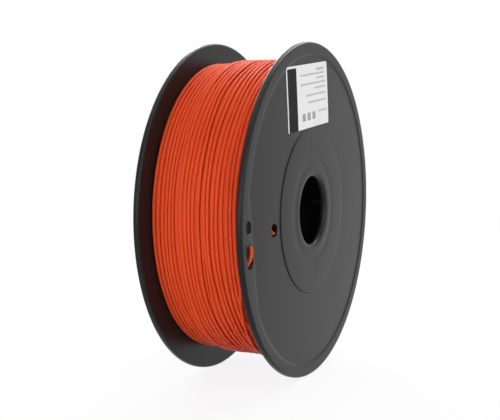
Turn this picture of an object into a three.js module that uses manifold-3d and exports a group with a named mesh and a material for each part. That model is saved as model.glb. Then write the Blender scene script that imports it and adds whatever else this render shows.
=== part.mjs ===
// A spool of 1.75 mm plastic filament: two flanges and a two-part core, wound full of filament.
// Millimetres, +Z up. The origin is the spool's centre, its axis is Y, and the labelled side faces -Y.
import * as THREE from "three";
import { mergeVertices } from "three/addons/utils/BufferGeometryUtils.js";
import Module from "manifold-3d";

const wasm = await Module();
wasm.setup();

const degrees = THREE.MathUtils.degToRad;

// Driving dimensions. A height is measured along the axis, outwards from the spool's mid-plane.
const FLANGE_RADIUS = 100;
const CHANNEL_WIDTH = 58.1; // between the flanges' inner faces, at the rim
const RIM_WALL = 3;
const RIM_WIDTH = 8.4; // the low ring that is left outside the raised plate
const RIM_ROUND = 1.1;
const PLATE_RISE = 1; // how far the plate stands above the rim
const PLATE_WALL = 3;
const SHOULDER_WIDTH = 3.2; // of the plate's soft edge, which is as high as the plate rises
const PLATE_FLAT_DEPTH = 5.6; // the straight cut in the plate's outline, beside the park holes
const HOLLOW_INSET = 2.4; // from the plate's outline in to the hollow behind it

const DRUM_RADIUS = 46;
const DRUM_WALL = 2.5;
const WEB_WALL = 3;
const HUB_RECESS = 0.5; // hub disc below the plate
const LIP_WIDTH = 3.5; // the core's lip, seated in the flange
const LIP_WALL = 1.4;
const LEDGE_WIDTH = 2.7; // the flange's boss, outside the lip's seat
const BEAD_HEIGHT = 0.7; // the snap bead that keeps the flange on the drum
const BEAD_WIDTH = 1.4;
const BORE_RADIUS = 20.2;
const BORE_ROUND = 1.2; // of the bead round the bore's edge
const BORE_BEAD_RISE = 0.25; // above the hub disc
const COLLAR_TROUGH_RADIUS = 23.6;
const COLLAR_CREST_RADIUS = 28;
const COLLAR_FOOT_RADIUS = 33.5;
const COLLAR_RISE = 0.5;

const RIB_COUNT = 4;
const RIB_WALL = 2;
const RIB_DEPTH = 8;
const RIB_INSET = 2.5; // from the bore's edge to the rib's inner end

const TAB_WIDTH = 5;
const TAB_WALL = 1.9;
const TAB_REACH = 11; // past the mid-plane, into the other half
const TAB_CLOCK = degrees(6.5); // from a rib to its tab
const CATCH_HEIGHT = 1.5;
const CATCH_NEAR = 2; // from the mid-plane to the catch
const CATCH_LENGTH = 2;

const FILAMENT = 1.75;
const WINDING_DEPTH = 11.5; // from the flange's edge down to the winding
const TURN_SPACING = 2.52; // the least from turn to turn in the outer layer
const CLEARANCE = 0.3;

const LABEL_WIDTH = 63;
const LABEL_HEIGHT = 37.3;
const LABEL_THICKNESS = 0.2;
const LABEL_CORNER = 2.5;
const LABEL_MARGIN = 4.4; // from the plate's outline to the middle of the label's upper edge
const LABEL_CLOCK = degrees(89.2);
const LABEL_TILT = degrees(-2.5);

// Clock angles run anticlockwise from 3 o'clock, seen from outside the flange.
const PLATE_FLAT_CLOCK = degrees(181);
const START_HOLE_RADIUS = 3.8;
const START_HOLE_CENTRE = 57.6;
const START_HOLE_CLOCK = degrees(178.3);
const START_END_SHIFT = new THREE.Vector2(-0.5, -1.9); // the strand leans on the hole's lower edge
const START_END_SUNK = 0.4; // its tip below the plate
const PARK_HOLE_RADIUS = 3.3;
const PARK_HOLES_RISE = 2.5; // from the winding's surface out to the holes' centres
const PARK_HOLE_CLOCK = degrees(172.9);
const PARK_SLOT_LENGTH = 13;
const PARK_SLOT_CLOCK = degrees(183);
const FREE_END_SLOPE = degrees(27); // of the strand to the flange, where it leaves through the slot
const FREE_END_LIFT = degrees(25); // over which the strand rises off the winding, out to the slot
const FREE_END_PROUD = 2; // the tip's centre above the rim

// The rims are regular polygons, so that the spool rests on a flat and doesn't roll.
const RIM_FLATS = 72;
const CORE_FLATS = 48;
const LOOP_STEPS = 24;
const TUBE_SIDES = 6;
const ROLL = degrees(1.5 * (360 / RIM_FLATS)); // a flat, and not a corner, is lowest

// Places that follow from them.
const rimInner = CHANNEL_WIDTH / 2;
const rimFace = rimInner + RIM_WALL;
const plateFace = rimFace + PLATE_RISE;
const plateInner = plateFace - PLATE_WALL;
const plateRadius = FLANGE_RADIUS - RIM_WIDTH;
const hubFace = plateFace - HUB_RECESS;
const webInner = hubFace - WEB_WALL;
const lipRadius = DRUM_RADIUS + LIP_WIDTH;
const lipUnder = hubFace - LIP_WALL;
const seatRadius = lipRadius + CLEARANCE;
const drumInner = DRUM_RADIUS - DRUM_WALL;
const beadRadius = DRUM_RADIUS + BEAD_HEIGHT;
const beadTop = rimInner - CLEARANCE;
const beadFoot = beadTop - BEAD_WIDTH;
const tabOuter = drumInner - CATCH_HEIGHT - CLEARANCE;
const tabInner = tabOuter - TAB_WALL;
const windingRadius = FLANGE_RADIUS - WINDING_DEPTH;
const parkRadius = windingRadius + PARK_HOLES_RISE;
const windingSide = rimInner - CLEARANCE;
const topTurnRadius = windingRadius - FILAMENT / 2;
const innerLayersRadius = topTurnRadius * Math.cos(Math.PI / LOOP_STEPS) - FILAMENT / 2 - CLEARANCE;
const labelCentre = plateRadius - LABEL_MARGIN - LABEL_HEIGHT / 2;

const spoolPlastic = new THREE.MeshStandardMaterial({ color: 0x2c2d2e, roughness: 0.5, metalness: 0 });
const filamentPlastic = new THREE.MeshStandardMaterial({ color: 0xdc4526, roughness: 0.35, metalness: 0 });
const labelPaper = new THREE.MeshStandardMaterial({ color: 0xf2f2f0, roughness: 0.8, metalness: 0 });

// A closed three.js geometry as a solid that can be joined and cut.
function solid(geometry) {
  const bare = new THREE.BufferGeometry().setAttribute("position", geometry.getAttribute("position"));
  if (geometry.index) bare.setIndex(geometry.index);
  const merged = mergeVertices(bare, 1e-4);
  return new wasm.Manifold(
    new wasm.Mesh({
      numProp: 3,
      vertProperties: new Float32Array(merged.getAttribute("position").array),
      triVerts: new Uint32Array(merged.index.array),
    }),
  );
}

// The solid as a named mesh.
function piece(name, made, material) {
  const { numProp, vertProperties, triVerts } = made.getMesh();
  const count = vertProperties.length / numProp;
  const positions = new Float32Array(count * 3);
  for (let i = 0; i < count; i++) {
    positions.set(vertProperties.subarray(i * numProp, i * numProp + 3), i * 3);
  }
  const geometry = new THREE.BufferGeometry()
    .setAttribute("position", new THREE.BufferAttribute(positions, 3))
    .setIndex(new THREE.BufferAttribute(triVerts, 1));
  geometry.computeVertexNormals();
  const mesh = new THREE.Mesh(geometry, material);
  mesh.name = name;
  return mesh;
}

// A solid turned about Z from an anticlockwise profile of [radius, height] points. A profile that
// doesn't start and end on the axis closes on itself.
function turned(profile, flats) {
  const points = profile.map(([radius, height]) => new THREE.Vector2(radius, height));
  if (points[0].x > 0) points.push(points[0].clone());
  return solid(new THREE.LatheGeometry(points, flats).rotateX(Math.PI / 2));
}

function disc(radius, bottom, top, flats = RIM_FLATS) {
  return turned([[0, bottom], [radius, bottom], [radius, top], [0, top]], flats);
}

function extruded(shape, bottom, top, options = {}) {
  const bevel = options.bevelThickness ?? 0;
  const depth = top - bottom - 2 * bevel;
  const geometry = new THREE.ExtrudeGeometry(shape, { bevelEnabled: bevel > 0, ...options, depth });
  return solid(geometry.translate(0, 0, bottom + bevel));
}

// A point of the flange's face at a radius and a clock angle.
function onClock(radius, clock) {
  return new THREE.Vector2(radius * Math.cos(clock), radius * Math.sin(clock));
}

// The plate's outline: a circle with one straight cut, square to the clock angle of the flat.
function plateOutline(inset) {
  const radius = plateRadius - inset;
  const halfCut = Math.acos((plateRadius - PLATE_FLAT_DEPTH - inset) / radius);
  const outline = new THREE.Shape();
  outline.absarc(0, 0, radius, PLATE_FLAT_CLOCK + halfCut, PLATE_FLAT_CLOCK + 2 * Math.PI - halfCut);
  outline.closePath();
  return outline;
}

// A quarter round in equal steps, from one side of a corner to the other.
function roundedCorner(radius, height, round, fromAngle) {
  const steps = 3;
  return Array.from({ length: steps + 1 }, (_, i) => {
    const angle = fromAngle + (i / steps) * (Math.PI / 2);
    return [radius + round * Math.cos(angle), height + round * Math.sin(angle)];
  });
}

function rimDisc() {
  const round = Math.min(RIM_ROUND, RIM_WALL / 2.2);
  return turned(
    [
      [0, rimInner],
      ...roundedCorner(FLANGE_RADIUS - round, rimInner + round, round, -Math.PI / 2),
      ...roundedCorner(FLANGE_RADIUS - round, rimFace - round, round, 0),
      [0, rimFace],
    ],
    RIM_FLATS,
  );
}

// The strand is parked in a round-ended slot that lies just outside the winding's surface.
function parkSlot(bottom, top) {
  const reach = PARK_SLOT_LENGTH / 2 - PARK_HOLE_RADIUS;
  const outline = new THREE.Shape();
  outline.absarc(0, reach, PARK_HOLE_RADIUS, 0, Math.PI);
  outline.absarc(0, -reach, PARK_HOLE_RADIUS, Math.PI, 2 * Math.PI);
  outline.closePath();
  return extruded(outline, bottom, top, { curveSegments: 6 })
    .translate([parkRadius, 0, 0])
    .rotate([0, 0, THREE.MathUtils.radToDeg(PARK_SLOT_CLOCK)]);
}

function roundHole(radius, centre, bottom, top) {
  return disc(radius, bottom, top, 20).translate([centre.x, centre.y, 0]);
}

function flange() {
  const below = rimInner - 1;
  const above = plateFace + 1;
  const circle = { curveSegments: RIM_FLATS / 2 };
  const boss = disc(seatRadius + LEDGE_WIDTH, below - 1, above);
  const hollow = extruded(plateOutline(HOLLOW_INSET), below, plateInner, circle).subtract(boss);
  const bevel = {
    bevelThickness: PLATE_RISE,
    bevelSize: SHOULDER_WIDTH,
    bevelOffset: -SHOULDER_WIDTH,
    bevelSegments: 2,
  };
  const plateRoot = plateInner + 0.1 * PLATE_WALL;
  const plate = extruded(plateOutline(0), plateRoot, plateFace, { ...circle, ...bevel });
  const holes = [
    disc(seatRadius, lipUnder - CLEARANCE, above),
    disc(DRUM_RADIUS + CLEARANCE, below, above),
    roundHole(START_HOLE_RADIUS, onClock(START_HOLE_CENTRE, START_HOLE_CLOCK), below, above),
    roundHole(PARK_HOLE_RADIUS, onClock(parkRadius, PARK_HOLE_CLOCK), below, above),
    parkSlot(below, above),
  ];
  return holes.reduce((made, hole) => made.subtract(hole), rimDisc().subtract(hollow).add(plate));
}

// The hub disc's soft collar, from its foot over its crest into the trough round the bore, and the
// bead that rounds the bore's edge.
function collarProfile() {
  const crest = hubFace + COLLAR_RISE;
  const beadCentre = hubFace + BORE_BEAD_RISE - BORE_ROUND;
  const swell = (fromRadius, toRadius, low, high, steps) =>
    Array.from({ length: steps }, (_, i) => [
      THREE.MathUtils.lerp(fromRadius, toRadius, i / steps),
      low + ((high - low) * (1 - Math.cos((Math.PI * i) / steps))) / 2,
    ]);
  const bead = [60, 100, 140, 180].map((clock) => [
    BORE_RADIUS + BORE_ROUND + BORE_ROUND * Math.cos(degrees(clock)),
    beadCentre + BORE_ROUND * Math.sin(degrees(clock)),
  ]);
  return [
    ...swell(COLLAR_FOOT_RADIUS, COLLAR_CREST_RADIUS, hubFace, crest, 3),
    ...swell(COLLAR_CREST_RADIUS, COLLAR_TROUGH_RADIUS, crest, hubFace, 2),
    [COLLAR_TROUGH_RADIUS, hubFace],
    ...bead,
  ];
}

function coreShell() {
  const edgeBreak = 0.2 * LIP_WALL;
  return turned(
    [
      [BORE_RADIUS, webInner],
      [drumInner, webInner],
      [drumInner, CLEARANCE / 2],
      [DRUM_RADIUS, CLEARANCE / 2],
      [DRUM_RADIUS, beadFoot],
      [beadRadius, beadFoot + BEAD_WIDTH / 2],
      [beadRadius, beadTop],
      [DRUM_RADIUS, beadTop],
      [DRUM_RADIUS, lipUnder],
      [lipRadius, lipUnder],
      [lipRadius, hubFace - edgeBreak],
      [lipRadius - edgeBreak, hubFace],
      ...collarProfile(),
    ],
    CORE_FLATS,
  );
}

// A block between two radii, square to the radius at a clock angle.
function radialBlock(inner, outer, width, bottom, top, clock) {
  const box = new THREE.BoxGeometry(outer - inner, width, top - bottom);
  box.translate((inner + outer) / 2, 0, (bottom + top) / 2).rotateZ(clock);
  return solid(box);
}

// A hooked tab that is rooted in this half's drum wall and snaps behind a catch of the other half.
function snapTab(clock) {
  const root = drumInner + DRUM_WALL / 2;
  const hook = drumInner - 1.5 * CLEARANCE;
  const hookFace = -(CATCH_NEAR + CATCH_LENGTH + CLEARANCE);
  const side = new THREE.Shape();
  side.moveTo(root, CATCH_NEAR / 2);
  side.lineTo(root, TAB_REACH);
  side.lineTo(tabInner, TAB_REACH - (root - tabInner));
  side.lineTo(tabInner, -TAB_REACH);
  side.lineTo(tabOuter, -TAB_REACH);
  side.lineTo(hook, (hookFace - TAB_REACH) / 2);
  side.lineTo(hook, hookFace);
  side.lineTo(tabOuter, hookFace);
  side.lineTo(tabOuter, CATCH_NEAR / 2);
  side.closePath();
  const tab = new THREE.ExtrudeGeometry(side, { depth: TAB_WIDTH, bevelEnabled: false });
  return solid(tab.translate(0, 0, -TAB_WIDTH / 2).rotateX(Math.PI / 2).rotateZ(clock));
}

function coreHalf() {
  let made = coreShell();
  const buried = drumInner + DRUM_WALL / 2;
  for (let i = 0; i < RIB_COUNT; i++) {
    const clock = (i / RIB_COUNT) * 2 * Math.PI;
    const ribBottom = webInner - RIB_DEPTH;
    const ribTop = webInner + WEB_WALL / 2;
    const catchFar = CATCH_NEAR + CATCH_LENGTH;
    made = made
      .add(radialBlock(BORE_RADIUS + RIB_INSET, buried, RIB_WALL, ribBottom, ribTop, clock))
      .add(snapTab(clock + TAB_CLOCK))
      .add(
        radialBlock(drumInner - CATCH_HEIGHT, buried, TAB_WIDTH, CATCH_NEAR, catchFar, clock - TAB_CLOCK),
      );
  }
  return made;
}

// The packed layers under the outermost one, as one plain ring, relieved at the drum's snap beads.
function innerLayers() {
  const bottom = DRUM_RADIUS + CLEARANCE;
  const relieved = beadRadius + CLEARANCE;
  const reliefStart = beadFoot - BEAD_WIDTH;
  return turned(
    [
      [bottom, -reliefStart],
      [relieved, -beadFoot],
      [relieved, -windingSide],
      [innerLayersRadius, -windingSide],
      [innerLayersRadius, windingSide],
      [relieved, windingSide],
      [relieved, beadFoot],
      [bottom, reliefStart],
    ],
    CORE_FLATS,
  );
}

// The strand's centre line over the outer layer, from the rear flange to the front one, and out
// through the park slot. It winds clockwise as it comes forward.
function outerLayerLine() {
  const travel = 2 * (windingSide - FILAMENT / 2);
  const turns = Math.floor(travel / TURN_SPACING);
  const height = travel / 2;
  const perClock = topTurnRadius * Math.tan(FREE_END_SLOPE); // height gained for each radian
  const wallMiddle = rimFace - RIM_WALL / 2;
  const clockAt = (h) => PARK_SLOT_CLOCK - (h - wallMiddle) / perClock;
  const bendReach = (2 * FILAMENT) / topTurnRadius;
  const outAt = (clock) => {
    const still = THREE.MathUtils.smoothstep(clock, PARK_SLOT_CLOCK, PARK_SLOT_CLOCK + FREE_END_LIFT);
    return THREE.MathUtils.lerp(parkRadius, topTurnRadius, still);
  };
  const bend = new THREE.QuadraticBezierCurve(
    new THREE.Vector2(clockAt(height) + bendReach, height),
    new THREE.Vector2(clockAt(height), height),
    new THREE.Vector2(clockAt(rimInner), rimInner),
  );
  const tipHeight = rimFace + FREE_END_PROUD;
  const line = [];
  const add = (clock, h) => line.push(new THREE.Vector3(...onClock(outAt(clock), clock), h));
  for (let i = 0; i < turns * LOOP_STEPS; i++) {
    const left = turns - i / LOOP_STEPS;
    add(bend.v0.x + left * 2 * Math.PI, height - (left / turns) * travel);
  }
  bend.getPoints(3).forEach((p) => add(p.x, p.y));
  add(clockAt(wallMiddle), wallMiddle);
  add(clockAt(rimFace), rimFace);
  add(clockAt(tipHeight), tipHeight);
  const start = line[0].clone().sub(line[1]).setLength(FILAMENT).add(line[0]);
  return [start, ...line];
}

// The least distance between the strand's surfaces where it passes itself, measured at its points.
function leastGap(line) {
  let least = Infinity;
  for (let i = 0; i < line.length; i++) {
    for (let j = i + LOOP_STEPS / 2; j < line.length; j++) {
      least = Math.min(least, line[i].distanceTo(line[j]));
    }
  }
  return least - FILAMENT;
}

// A closed tube along a line that goes round the Z axis.
function tube(line) {
  const positions = [];
  const index = [];
  line.forEach((point, i) => {
    const ahead = line[Math.min(i + 1, line.length - 1)];
    const behind = line[Math.max(i - 1, 0)];
    const along = ahead.clone().sub(behind).normalize();
    const out = new THREE.Vector3(point.x, point.y, 0);
    out.addScaledVector(along, -out.dot(along)).normalize();
    const across = along.clone().cross(out);
    for (let k = 0; k < TUBE_SIDES; k++) {
      const angle = (k / TUBE_SIDES) * 2 * Math.PI;
      const corner = point
        .clone()
        .addScaledVector(out, (FILAMENT / 2) * Math.cos(angle))
        .addScaledVector(across, (FILAMENT / 2) * Math.sin(angle));
      positions.push(corner.x, corner.y, corner.z);
    }
  });
  for (let i = 0; i + 1 < line.length; i++) {
    for (let k = 0; k < TUBE_SIDES; k++) {
      const a = i * TUBE_SIDES + k;
      const b = i * TUBE_SIDES + ((k + 1) % TUBE_SIDES);
      index.push(a, b, b + TUBE_SIDES, a, b + TUBE_SIDES, a + TUBE_SIDES);
    }
  }
  const last = (line.length - 1) * TUBE_SIDES;
  for (let k = 1; k + 1 < TUBE_SIDES; k++) {
    index.push(0, k + 1, k, last, last + k, last + k + 1);
  }
  const geometry = new THREE.BufferGeometry();
  geometry.setAttribute("position", new THREE.Float32BufferAttribute(positions, 3));
  geometry.setIndex(index);
  return solid(geometry);
}

function outerLayer() {
  const line = outerLayerLine();
  console.log(`outer layer: least gap to itself ${leastGap(line).toFixed(2)} mm`);
  return tube(line);
}

// The strand's first end, which stands out of the packed layers into the start hole.
function startEnd() {
  const centre = onClock(START_HOLE_CENTRE, START_HOLE_CLOCK).add(START_END_SHIFT);
  const bottom = windingSide + CLEARANCE;
  return disc(FILAMENT / 2, bottom, plateFace - START_END_SUNK, 10).translate([centre.x, centre.y, 0]);
}

function label() {
  const x = LABEL_WIDTH / 2 - LABEL_CORNER;
  const y = LABEL_HEIGHT / 2 - LABEL_CORNER;
  const quarter = Math.PI / 2;
  const outline = new THREE.Shape();
  outline.absarc(x, y, LABEL_CORNER, 0, quarter);
  outline.absarc(-x, y, LABEL_CORNER, quarter, 2 * quarter);
  outline.absarc(-x, -y, LABEL_CORNER, 2 * quarter, 3 * quarter);
  outline.absarc(x, -y, LABEL_CORNER, 3 * quarter, 4 * quarter);
  outline.closePath();
  return extruded(outline, 0, LABEL_THICKNESS, { curveSegments: 2 });
}

function half(side) {
  const made = new THREE.Group();
  made.add(piece(`${side}_flange`, flange(), spoolPlastic));
  made.add(piece(`${side}_core_half`, coreHalf(), spoolPlastic));
  return made;
}

// Everything is made with the axis upright and the labelled side on top.
const frontHalf = half("front");
const rearHalf = half("rear");
rearHalf.rotation.y = Math.PI;

const winding = new THREE.Group();
winding.add(piece("filament_inner_layers", innerLayers(), filamentPlastic));
winding.add(piece("filament_outer_layer", outerLayer(), filamentPlastic));
winding.add(piece("filament_start_end", startEnd(), filamentPlastic));

const frontLabel = piece("label", label(), labelPaper);
frontLabel.position.set(...onClock(labelCentre, LABEL_CLOCK), plateFace);
frontLabel.rotation.z = LABEL_TILT;

const rolled = new THREE.Group();
rolled.add(frontHalf, rearHalf, winding, frontLabel);
rolled.rotation.z = ROLL;

// It stands on its rims, with its axis level.
const spool = new THREE.Group();
spool.add(rolled);
spool.rotation.x = Math.PI / 2;

export default spool;
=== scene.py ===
# %% [markdown]
# # A spool of plastic filament
# This lesson dresses a plain CAD model of a filament spool: two black moulded flanges, a two-part
# core, a winding of orange-red strand and a paper label. The CAD model comes in as a fixed frame in
# metres. Every new piece is built where the CAD says, and then stands for one of its plain parts.

# %% Load the fixed frame
import math

import bmesh
import bpy
import numpy as np
from mathutils import Matrix, Vector


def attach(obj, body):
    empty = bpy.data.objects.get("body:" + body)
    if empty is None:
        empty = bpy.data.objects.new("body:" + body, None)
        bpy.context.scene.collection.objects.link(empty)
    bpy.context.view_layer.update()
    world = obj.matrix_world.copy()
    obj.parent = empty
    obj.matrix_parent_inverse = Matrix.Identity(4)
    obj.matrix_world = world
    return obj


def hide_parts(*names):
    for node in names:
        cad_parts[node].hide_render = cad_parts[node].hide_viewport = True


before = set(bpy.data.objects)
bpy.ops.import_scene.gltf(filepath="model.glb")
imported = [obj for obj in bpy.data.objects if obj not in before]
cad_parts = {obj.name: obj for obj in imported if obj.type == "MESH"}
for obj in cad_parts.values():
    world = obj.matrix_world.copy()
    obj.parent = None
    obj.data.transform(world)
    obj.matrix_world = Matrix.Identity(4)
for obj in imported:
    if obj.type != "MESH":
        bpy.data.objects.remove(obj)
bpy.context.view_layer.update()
print("CAD nodes:", sorted(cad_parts))

# %% [markdown]
# ## The camera
# The camera comes first, so that every later choice is judged through it. Its place was solved from
# the outlines of the two flanges, which are circles of known size. It stands to the left of the
# labelled face and a little above the axis. The small shift puts the spool slightly right of the
# middle, as in the photograph.

# %% Camera
CAMERA_PLACE = Vector((-0.6014, -0.2703, 0.0676))
PICTURE_WIDTH = 500
OFF_CENTRE = (13.2, 2.0)  # pixels, right and up
LENS = 78  # mm

camera = bpy.data.objects.new("camera", bpy.data.cameras.new("camera"))
bpy.context.scene.collection.objects.link(camera)
camera.location = CAMERA_PLACE
camera.rotation_mode = "QUATERNION"
camera.rotation_quaternion = (-CAMERA_PLACE).to_track_quat("-Z", "Y")
camera.data.lens = LENS
camera.data.shift_x = -OFF_CENTRE[0] / PICTURE_WIDTH
camera.data.shift_y = -OFF_CENTRE[1] / PICTURE_WIDTH
camera.data.clip_start, camera.data.clip_end = 0.01, 20
bpy.context.scene.camera = camera
print("camera distance in mm:", round(1000 * CAMERA_PLACE.length))

# %% [markdown]
# ## Sizes
# The pieces are worked out in millimetres in each half's own frame: x to the right, y up and z out of
# the half. The front half is turned so that its z points at -Y. The rear half is the same moulding,
# turned round. Both are rolled a little, which is how the spool happens to stand.

# %% Shared sizes
MM = 0.001
ROLL = math.radians(7.5)
RIM_RADIUS = 99.9
RIM_INNER, RIM_FACE = 29.05, 32.7  # these and all other faces are heights from the mid-plane
PLATE_RADIUS, PLATE_FACE, PLATE_INNER = 91.4, 32.6, 30.05
PLATE_DOME = 0.45  # how far the plate falls from the hub out to its edge
SHOULDER_WIDTH = 2.2  # of the rise from the plate's edge to the rim
HUB_FACE, WEB_INNER = 33.2, 29.55
DRUM_RADIUS, DRUM_INNER = 46.0, 43.5  # the drum wall, outside and inside
LIP_RADIUS, LIP_UNDER = 49.4, 31.15  # the core's lip, which lies on the flange
LIP_GAP = 0.12  # round the lip, seen as the fine dark ring
SEAT_GAP = 0.3  # between pieces that seat in each other
BORE_RADIUS = 20.2
STRAND = 1.75  # the strand's diameter
HALF_TRAVEL = RIM_INNER - SEAT_GAP - STRAND / 2  # of the strand, from the mid-plane to a flange


def half_frame(side):
    """The matrix from a half's own millimetres to the frame's metres."""
    turned_round = Matrix.Rotation(math.pi, 4, "Y") if side == "rear" else Matrix.Identity(4)
    stand = Matrix.Rotation(math.pi / 2, 4, "X") @ Matrix.Rotation(ROLL, 4, "Z")
    return stand @ turned_round @ Matrix.Scale(MM, 4)


outward = half_frame("front").to_3x3().normalized() @ Vector((0, 0, 1))
print("front half's outward axis:", [round(x, 3) for x in outward])

# %% [markdown]
# ## Mesh helpers
# Most mouldings here are turned shapes, so one helper spins a closed profile into a mesh. A corner of
# a real moulding is never sharp. The profile helper rounds each corner and adds a holding point just
# beyond each end of the round, which keeps smooth shading from bleeding over the flat faces.

# %% Profile and mesh helpers
HOLD = 0.25  # mm from the end of a round to its holding point
HOLD_ROOM = 2.2  # a side has a holding point if it is this many times as long as round and hold
SAME_PLACE = 1e-5  # points nearer than this, in the mesh's own unit, are merged


def rounded(corners, steps=4):
    """A closed profile of [radius, height, round, follow] corners, with its corners rounded."""
    made = []
    count = len(corners)
    for i, (r, h, size, follow) in enumerate(corners):
        here = Vector((r, h))
        back = Vector(corners[i - 1][:2]) - here
        ahead = Vector(corners[(i + 1) % count][:2]) - here
        if size <= 0:
            made.append((r, h, follow))
            continue
        half = back.angle(ahead) / 2
        reach = size / math.tan(half)
        centre = here + (back.normalized() + ahead.normalized()).normalized() * (size / math.sin(half))
        start, end = here + back.normalized() * reach, here + ahead.normalized() * reach
        if back.length > HOLD_ROOM * (reach + HOLD):
            hold = here + back.normalized() * (reach + HOLD)
            made.append((hold.x, hold.y, follow))
        a, b = start - centre, end - centre
        sweep = -a.angle_signed(b)
        for k in range(steps + 1):
            turn = Matrix.Rotation(sweep * k / steps, 2)
            p = centre + turn @ a
            made.append((p.x, p.y, follow))
        if ahead.length > HOLD_ROOM * (reach + HOLD):
            hold = here + ahead.normalized() * (reach + HOLD)
            made.append((hold.x, hold.y, follow))
    return made


def new_piece(name, points, faces, edges=()):
    """A new mesh object in the scene."""
    mesh = bpy.data.meshes.new(name)
    mesh.from_pydata([tuple(p) for p in points], edges, faces)
    piece = bpy.data.objects.new(name, mesh)
    bpy.context.scene.collection.objects.link(piece)
    return piece


def turned(name, profile, segments, outline_shift=None):
    """A closed profile spun about Z. Points that follow the outline move in and out with it."""
    points, faces = [], []
    count = len(profile)
    for i in range(segments):
        clock = 2 * math.pi * i / segments
        shift = outline_shift(clock) if outline_shift else 0
        for r, h, follow in profile:
            out = r + follow * shift
            points.append((out * math.cos(clock), out * math.sin(clock), h))
    for i in range(segments):
        a, b = i * count, (i + 1) % segments * count
        for k in range(count):
            n = (k + 1) % count
            faces.append((a + k, b + k, b + n, a + n))
    return new_piece(name, points, faces)


def face_outwards(piece):
    """Merges doubles, turns the faces outwards and prints how many edges stay open."""
    work = bmesh.new()
    work.from_mesh(piece.data)
    bmesh.ops.remove_doubles(work, verts=work.verts, dist=SAME_PLACE)
    bmesh.ops.recalc_face_normals(work, faces=work.faces)
    if work.calc_volume(signed=True) < 0:
        bmesh.ops.reverse_faces(work, faces=work.faces)
    open_edges = sum(not e.is_manifold for e in work.edges)
    work.to_mesh(piece.data)
    work.free()
    print(f"{piece.name}: {len(piece.data.polygons)} faces, open edges {open_edges}")


def made_plain(piece):
    """Turns what the modifiers make into the piece's own mesh."""
    graph = bpy.context.evaluated_depsgraph_get()
    mesh = bpy.data.meshes.new_from_object(piece.evaluated_get(graph))
    piece.modifiers.clear()
    old, piece.data = piece.data, mesh
    bpy.data.meshes.remove(old)
    return piece


def combine(piece, tool, operation):
    """Cuts the tool out of the piece, or joins it on, and removes the tool."""
    modifier = piece.modifiers.new("combine", "BOOLEAN")
    modifier.object, modifier.operation, modifier.solver = tool, operation, "EXACT"
    made_plain(piece)
    bpy.data.objects.remove(tool)


def smooth(piece, limit=28):
    """Smooth shading, apart from edges that are sharper than the limit in degrees."""
    piece.data.shade_smooth()
    piece.data.set_sharp_from_angle(angle=math.radians(limit))
    return piece


def place(piece, matrix):
    """Moves the mesh and not the object, which stays at the origin."""
    piece.data.transform(matrix)
    return piece


def painted(piece, material):
    """Gives the whole piece one material."""
    piece.data.materials.clear()
    piece.data.materials.append(material)
    return piece


print("a quarter round gets", len(rounded([(0, 0, 0, 0), (2, 0, 0.5, 0), (2, 2, 0, 0)])) - 2, "points")

# %% [markdown]
# ## Node helpers
# A node tree is easier to read as a sum than as a web of links. One small class wraps a socket, and
# an expression on it adds the Math nodes. Any other node comes from its one method, which takes the
# node's type, its settings and the values or links of its sockets. It serves materials and Geometry
# Nodes alike. Every finish here ends the same way, so a last helper links its colour, roughness and
# fine relief to the shader.

# %% A socket that can be added and multiplied
class Wire:
    def __init__(self, tree, socket=None):
        self.tree, self.socket = tree, socket

    def node(self, kind, settings=None, inputs=None, output=0):
        made = self.tree.nodes.new(kind)
        for name, value in (settings or {}).items():
            setattr(made, name, value)
        for key, value in (inputs or {}).items():
            if isinstance(value, Wire):
                self.tree.links.new(value.socket, made.inputs[key])
            else:
                made.inputs[key].default_value = value
        return Wire(self.tree, made.outputs[output]) if len(made.outputs) else made

    def other(self, output):
        """Another output of the same node."""
        return Wire(self.tree, self.socket.node.outputs[output])

    def math(self, operation, *values, clamp=False):
        settings = {"operation": operation, "use_clamp": clamp}
        return self.node("ShaderNodeMath", settings, dict(enumerate(values)))

    def __add__(self, other):
        return self.math("ADD", self, other)

    def __sub__(self, other):
        return self.math("SUBTRACT", self, other)

    def __mul__(self, other):
        return self.math("MULTIPLY", self, other)

    def __truediv__(self, other):
        return self.math("DIVIDE", self, other)

    def __rsub__(self, other):
        return self.math("SUBTRACT", other, self)

    def __abs__(self):
        return self.math("ABSOLUTE", self)

    __radd__, __rmul__ = __add__, __mul__

    def clamped(self):
        return self.math("ADD", self, 0, clamp=True)


def colour_of(red, green, blue):
    """A colour as seen on screen, 0 to 255, in the linear values that shaders take."""
    parts = [c / 255 for c in (red, green, blue)]
    return (*(c / 12.92 if c <= 0.04045 else ((c + 0.055) / 1.055) ** 2.4 for c in parts), 1)


def new_material(name):
    """A material with its Principled shader, and a wire to start sums from."""
    made = bpy.data.materials.new(name)
    made.use_nodes = True
    return made, made.node_tree.nodes["Principled BSDF"], Wire(made.node_tree)


def blended(wire, factor, first, second):
    """A colour between two by a factor. The Mix node's sockets 6 and 7 are its colours."""
    return wire.node("ShaderNodeMix", {"data_type": "RGBA"}, {0: factor, 6: first, 7: second}, output=2)


RELIEF_DEPTH = 0.00002  # metres, for the bump of every finish


def finish_surface(wire, shader, colour, roughness, relief, strength, mirror):
    """Links what varies over a surface, and sets how much the surface mirrors."""
    bump_inputs = {"Strength": strength, "Distance": RELIEF_DEPTH, "Height": relief}
    bump = wire.node("ShaderNodeBump", inputs=bump_inputs)
    for name, value in (("Base Color", colour), ("Roughness", roughness), ("Normal", bump)):
        wire.tree.links.new(value.socket, shader.inputs[name])
    shader.inputs["Specular IOR Level"].default_value = mirror


print("mid grey 128 in linear light:", round(colour_of(128, 128, 128)[0], 3))

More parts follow.
